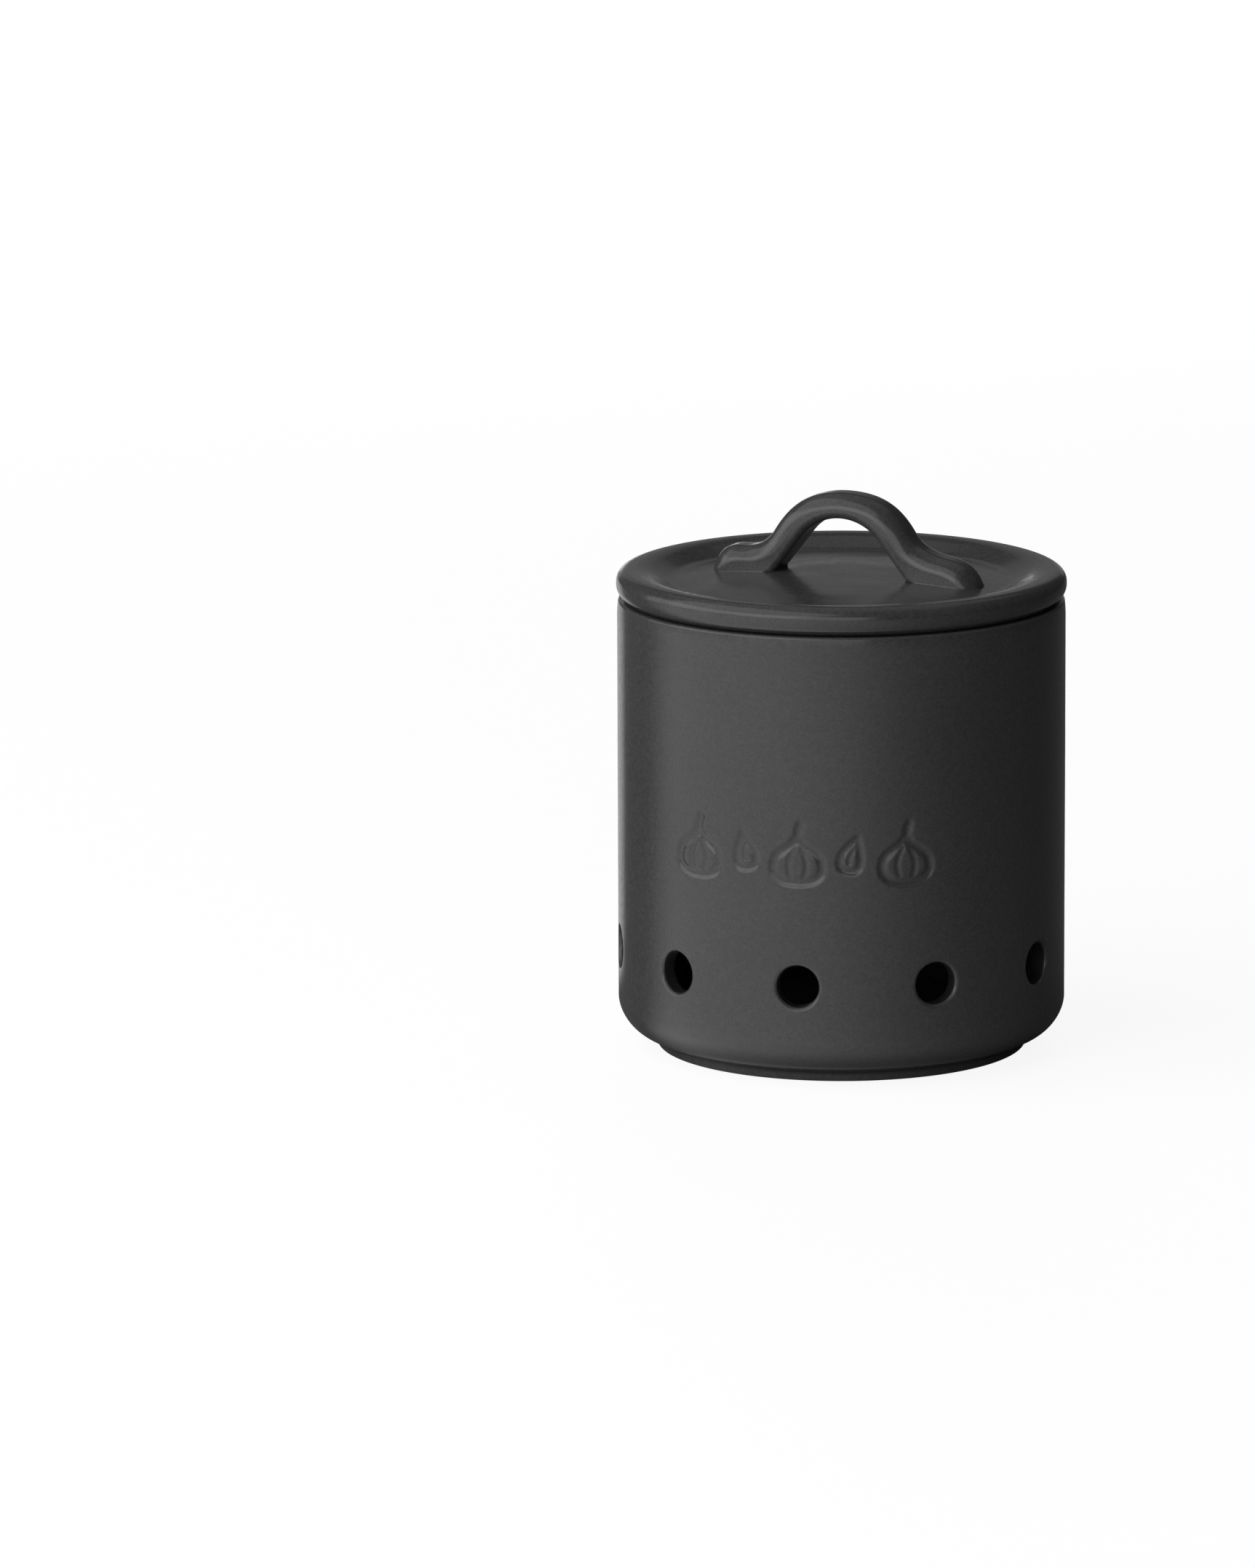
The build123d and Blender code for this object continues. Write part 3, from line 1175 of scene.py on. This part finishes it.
        smooth, rough = (self.roughness + change for change in self.mottle_gloss)
        gloss = graph.plus(graph.spread(mottle, 0.3, 0.7, smooth, rough), graph.spread(grain, *self.grain_gloss))
        gloss = graph.plus(gloss, graph.times(deep, self.vent_shade_gloss))
        gloss = graph.math("ADD", gloss, graph.times(wiped, self.wiped_gloss), clamp=True)
        peel = self._noise(graph, place, self.peel_size, 1.0)
        relief = graph.plus(graph.times(peel, self.peel_height), graph.times(grain, self.grain_height))
        relief = graph.math("SUBTRACT", relief, graph.times(dot, self.speck_pit))
        lift = {"Strength": self.bump_strength, "Distance": self.bump_distance * MM, "Height": relief}
        bump = graph.add("Bump", lift).outputs[0]
        shader = graph.add("BsdfPrincipled", {"Base Color": colour, "Roughness": gloss, "Normal": bump})
        graph.add("OutputMaterial", {0: shader.outputs[0]})
        return made


# ------------------------------------------------------------------ studio
def heading(azimuth: float, elevation: float) -> Vector:
    """The direction from the object towards a place in the studio.

    Args:
        azimuth: degrees from +X.
        elevation: degrees above the floor.

    Returns:
        A vector of length 1.
    """
    turn, rise = math.radians(azimuth), math.radians(elevation)
    return Vector((math.cos(turn) * math.cos(rise), math.sin(turn) * math.cos(rise), math.sin(rise)))


@dataclass(frozen=True)
class SoftBox:
    """A soft lamp that looks at the middle of the object, with its sizes in metres."""

    name: str
    azimuth: float
    elevation: float
    wide: float
    tall: float
    brightness: float
    mirrored: bool = True
    distance: float = 2.0

    def hang(self, centre: Vector) -> None:
        """Hangs the lamp.

        Args:
            centre: the point that it looks at.
        """
        lamp = bpy.data.lights.new(self.name, "AREA")
        lamp.shape = "RECTANGLE"
        lamp.size = self.wide
        lamp.size_y = self.tall
        lamp.energy = math.pi * self.brightness * self.wide * self.tall
        held = bpy.data.objects.new(self.name, lamp)
        out = heading(self.azimuth, self.elevation)
        held.location = centre + out * self.distance
        held.rotation_euler = (-out).to_track_quat("-Z", "Y").to_euler()
        held.visible_camera = False
        held.visible_glossy = self.mirrored
        bpy.context.scene.collection.objects.link(held)


@dataclass(frozen=True)
class PaperFloor:
    """Pale paper that keeps the object's shadow, and glows for glossy rays alone: a reflection painted into the
    glaze.
    """

    half_side: float = 3.0
    tone: float = 0.2
    glow: float = 0.9
    turn: float = 11.19
    front_sheen: tuple[float, float] = (0.93, 0.03)
    front_turn: tuple[float, float] = (-0.75, 1.0)
    near_fade: tuple[float, float] = (0.056, 0.07)
    near_least: float = 0.2
    near_glow: tuple[float, float] = (0.09, 0.15)
    near_gain: float = 1.2
    ahead_offset: float = 0.045
    ahead_fade: tuple[float, float] = (0.03, 0.5)
    back_sheen: float = 0.6
    back_left: tuple[float, float] = (-0.0625, 0.56)
    back_right: tuple[float, float] = (0.0625, 0.1)
    back_start: tuple[float, float] = (0.06, 0.1)
    edge_softness: float = 0.008

    def _painted_reflection(self, graph: Graph) -> bpy.types.NodeSocket:
        """A painted reflection: the glow that the floor shows only to glossy rays, bright on the lamps' side and in
        a wedge behind the object.

        Args:
            graph: where the nodes go.

        Returns:
            The socket of the strength.
        """
        place = graph.add("TexCoord").outputs["Object"]
        to_camera = {"Vector": place, "Angle": -math.radians(self.turn)}
        square = graph.add("VectorRotate", to_camera, rotation_type="Z_AXIS").outputs[0]
        parts = graph.add("SeparateXYZ", {0: square}).outputs
        across, away = parts[0], parts[1]
        soft = self.edge_softness
        out = graph.add("VectorMath", {0: place}, operation="LENGTH").outputs["Value"]
        left_edge, left_slope = self.back_left
        right_edge, right_slope = self.back_right
        from_left = graph.plus(across, graph.times(away, left_slope))
        from_right = graph.math("SUBTRACT", across, graph.times(away, right_slope))
        wedge = graph.spread(from_left, left_edge - soft, left_edge + soft, 0.0, 1.0)
        wedge = graph.times(wedge, graph.spread(from_right, right_edge - soft, right_edge + soft, 1.0, 0.0))
        wedge = graph.times(wedge, graph.spread(away, *self.back_start, 0.0, self.back_sheen))
        front = graph.spread(graph.math("DIVIDE", across, out), *self.front_turn, *self.front_sheen)
        ahead = graph.math("DIVIDE", graph.plus(away, self.ahead_offset), out)
        front = graph.times(front, graph.spread(ahead, *self.ahead_fade, 1.0, 0.0))
        clear = graph.spread(out, *self.near_fade, self.near_least, 1.0)
        clear = graph.times(clear, graph.spread(out, *self.near_glow, self.near_gain, 1.0))
        return graph.plus(graph.times(front, clear), wedge)

    def lay(self) -> None:
        """Lays the floor."""
        sheet = bmesh.new()
        bmesh.ops.create_grid(sheet, x_segments=8, y_segments=8, size=self.half_side)
        mesh = bpy.data.meshes.new("floor")
        sheet.to_mesh(mesh)
        sheet.free()
        floor = bpy.data.objects.new("floor", mesh)
        bpy.context.scene.collection.objects.link(floor)
        paper = bpy.data.materials.new("floor_paper")
        paper.use_nodes = True
        graph = Graph(paper.node_tree)
        ray = graph.add("LightPath").outputs
        seen = graph.times(ray["Is Camera Ray"], self.glow)
        # a painted reflection: the floor glows only for glossy rays
        mirrored = graph.times(ray["Is Glossy Ray"], self._painted_reflection(graph))
        glow = graph.add("Emission", {0: WHITE, 1: graph.plus(seen, mirrored)})
        matt = graph.add("BsdfDiffuse", {0: (self.tone, self.tone, self.tone, 1.0)})
        both = graph.add("AddShader", {0: matt.outputs[0], 1: glow.outputs[0]})
        graph.add("OutputMaterial", {0: both.outputs[0]})
        mesh.materials.append(paper)


@dataclass
class Studio:
    """A paper floor, a dim surround, soft lamps from the front left and behind, and the camera."""

    floor: PaperFloor = PaperFloor()
    boxes: tuple[SoftBox, ...] = (
        SoftBox("key", -139.0, 38.0, 3.2, 2.4, 0.95),
        SoftBox("low_left", -166.0, 15.0, 2.3, 1.0, 0.95),
        SoftBox("low_front", -100.0, 15.0, 2.7, 1.0, 1.25),
        SoftBox("overhead", 101.0, 70.0, 2.4, 2.0, 0.2),
        SoftBox("back_haze", 103.0, 13.0, 1.25, 0.85, 0.14),
        SoftBox("back_rim", 103.0, 3.0, 1.3, 0.15, 0.3),
        SoftBox("back_glint", 108.0, 2.5, 0.4, 0.16, 1.1),
        SoftBox("back_fill", 103.0, 7.0, 0.8, 0.65, 11.0, mirrored=False, distance=2.6),
    )
    lamp_aim: float = 0.075
    around: float = 0.04
    camera_turn: float = 11.19
    camera_rise: float = 11.47
    camera_distance: float = 3.0
    camera_lens: float = 246.55
    camera_shift: float = -0.13639
    aim_height: float = 0.0734

    def _surround(self) -> None:
        """Sets the world: white to the camera, dim to the object."""
        world = bpy.data.worlds.new("studio_surround")
        bpy.context.scene.world = world
        world.use_nodes = True
        graph = Graph(world.node_tree)
        dim = graph.add("Background", {0: WHITE, 1: self.around})
        white = graph.add("Background", {0: WHITE, 1: 1.0})
        seen = graph.add("LightPath").outputs["Is Camera Ray"]
        both = graph.add("MixShader", {0: seen, 1: dim.outputs[0], 2: white.outputs[0]})
        graph.add("OutputWorld", {0: both.outputs[0]})

    def _camera(self) -> None:
        """Stands the camera."""
        lens = bpy.data.cameras.new("camera")
        lens.sensor_fit = "AUTO"
        lens.sensor_width = 36.0
        lens.lens = self.camera_lens
        lens.shift_x = self.camera_shift
        lens.clip_end = 50.0
        camera = bpy.data.objects.new("camera", lens)
        aim = Vector((0.0, 0.0, self.aim_height))
        camera.location = aim + heading(self.camera_turn - 90, self.camera_rise) * self.camera_distance
        camera.rotation_euler = (math.pi / 2 - math.radians(self.camera_rise), 0.0, math.radians(self.camera_turn))
        bpy.context.scene.collection.objects.link(camera)
        bpy.context.scene.camera = camera

    def set_up(self) -> None:
        """Makes the studio."""
        self.floor.lay()
        self._surround()
        self._camera()
        for box in self.boxes:
            box.hang(Vector((0.0, 0.0, self.lamp_aim)))
        bpy.context.scene.view_settings.view_transform = "Standard"


def main() -> None:
    """Builds and dresses the keeper, and sets up the studio."""
    logging.basicConfig(level=logging.INFO, format="%(name)s: %(message)s")
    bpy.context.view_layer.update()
    glaze = CharcoalGlaze().material()
    disc = LidDisc()
    JarShell().build(glaze)
    disc.build(glaze)
    StrapHandle(disc).build(glaze)
    Studio().set_up()


if __name__ == "__main__":
    main()
